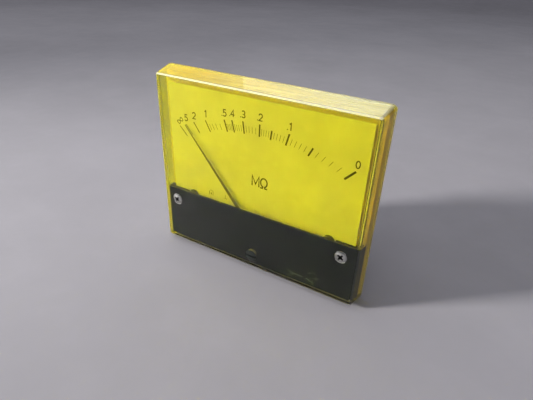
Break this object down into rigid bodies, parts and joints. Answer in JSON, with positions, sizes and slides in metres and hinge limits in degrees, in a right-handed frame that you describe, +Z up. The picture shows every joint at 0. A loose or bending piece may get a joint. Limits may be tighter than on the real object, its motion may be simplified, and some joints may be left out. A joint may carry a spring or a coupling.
{
  "type": "analog panel meter",
  "caption": "Rectangular moving-coil panel meter: clear yellow-tinted cover, wide dial with a needle, black lower mask with a zero adjuster, round barrel with studs and terminals behind",
  "frame": {"origin": "centre of the panel face: the plane y = 0 where the cover's rim and the base plate rest on the panel, midway between the mounting studs", "axes": "+X to the viewer's right, +Z up, the dial faces -Y and the barrel goes through the panel along +Y"},
  "size_m": [0.1, 0.0605, 0.085],
  "materials": {
    "cover": "polished yellow-tinted clear plastic",
    "cover_screws": "nickel plated",
    "mask": "smooth black",
    "dial_plate": "satin off-white paint, printed scale",
    "dial_screws": "blackened steel",
    "pointer_stops": "drawn wire",
    "zero_adjuster": "smooth black",
    "zero_lever": "stamped",
    "front_hairspring": "phosphor bronze strip",
    "rear_hairspring": "phosphor bronze strip",
    "rear_spring_arm": "stamped",
    "front_bridge": "stamped",
    "front_jewel_screw": "turned",
    "rear_jewel_screw": "turned",
    "jewel_lock_nuts": "milled",
    "movement_screws": "zinc plated",
    "front_spacers": "turned",
    "rear_spacers": "turned",
    "rear_frame": "stamped",
    "frame_screws": "zinc plated",
    "yoke_ring": "soft iron, oiled",
    "magnet_core": "ground magnet alloy",
    "core_clamps": "sawn",
    "coil_former": "folded foil strip",
    "coil_winding": "enamelled copper wire",
    "front_staff": "polished",
    "rear_staff": "polished",
    "pointer": "black lacquer",
    "counterweights": "wound wire",
    "base": "moulded ochre-ivory",
    "mounting_studs": "zinc plated",
    "terminal_studs": "turned",
    "terminal_washers": "zinc plated",
    "terminal_nuts": "milled",
    "solder_lugs": "tinned",
    "resistor_board": "phenolic paper",
    "board_screws": "zinc plated",
    "series_resistors": "lacquered",
    "lead_wires": "insulated wire"
  },
  "bodies": {
    "case": {"base": "base", "cover": "cover", "cover_screws": "cover_screws", "mask": "mask", "dial_plate": "dial_plate", "dial_screws": "dial_screws", "pointer_stops": "pointer_stops", "rear_hairspring": "rear_hairspring", "rear_spring_arm": "rear_spring_arm", "front_bridge": "front_bridge", "front_jewel_screw": "front_jewel_screw", "rear_jewel_screw": "rear_jewel_screw", "jewel_lock_nuts": "jewel_lock_nuts", "movement_screws": "movement_screws", "front_spacers": "front_spacers", "rear_spacers": "rear_spacers", "rear_frame": "rear_frame", "frame_screws": "frame_screws", "yoke_ring": "yoke_ring", "magnet_core": "magnet_core", "core_clamps": "core_clamps", "mounting_studs": "mounting_studs", "terminal_studs": "terminal_studs", "terminal_washers": "terminal_washers", "terminal_nuts": "terminal_nuts", "solder_lugs": "solder_lugs", "resistor_board": "resistor_board", "board_screws": "board_screws", "series_resistors": "series_resistors", "lead_wires": "lead_wires"},
    "moving_coil": {"coil_former": "coil_former", "coil_winding": "coil_winding", "front_staff": "front_staff", "rear_staff": "rear_staff", "pointer": "pointer", "counterweights": "counterweights"},
    "lever": {"zero_lever": "zero_lever", "front_hairspring": "front_hairspring"},
    "adjuster": {"zero_adjuster": "zero_adjuster"}
  },
  "joints": [
    {"name": "pointer_turn", "type": "hinge", "parent": "case", "child": "moving_coil", "pos_m": [0, 0, -0.024], "axis": [0, 1, 0], "range_deg": [-5.5, 85.5], "stiffness_Nm_per_rad": 0.00004},
    {"name": "adjuster_turn", "type": "hinge", "parent": "case", "child": "adjuster", "pos_m": [0, 0, -0.0344], "axis": [0, 1, 0], "range_deg": [-35, 35]},
    {"name": "lever_turn", "type": "hinge", "parent": "case", "child": "lever", "pos_m": [0, 0, -0.024], "axis": [0, 1, 0], "range_deg": [-6, 6]}
  ],
  "couplings": [
    {"joint": "lever_turn", "follows": "adjuster_turn", "ratio": -0.17}
  ]
}
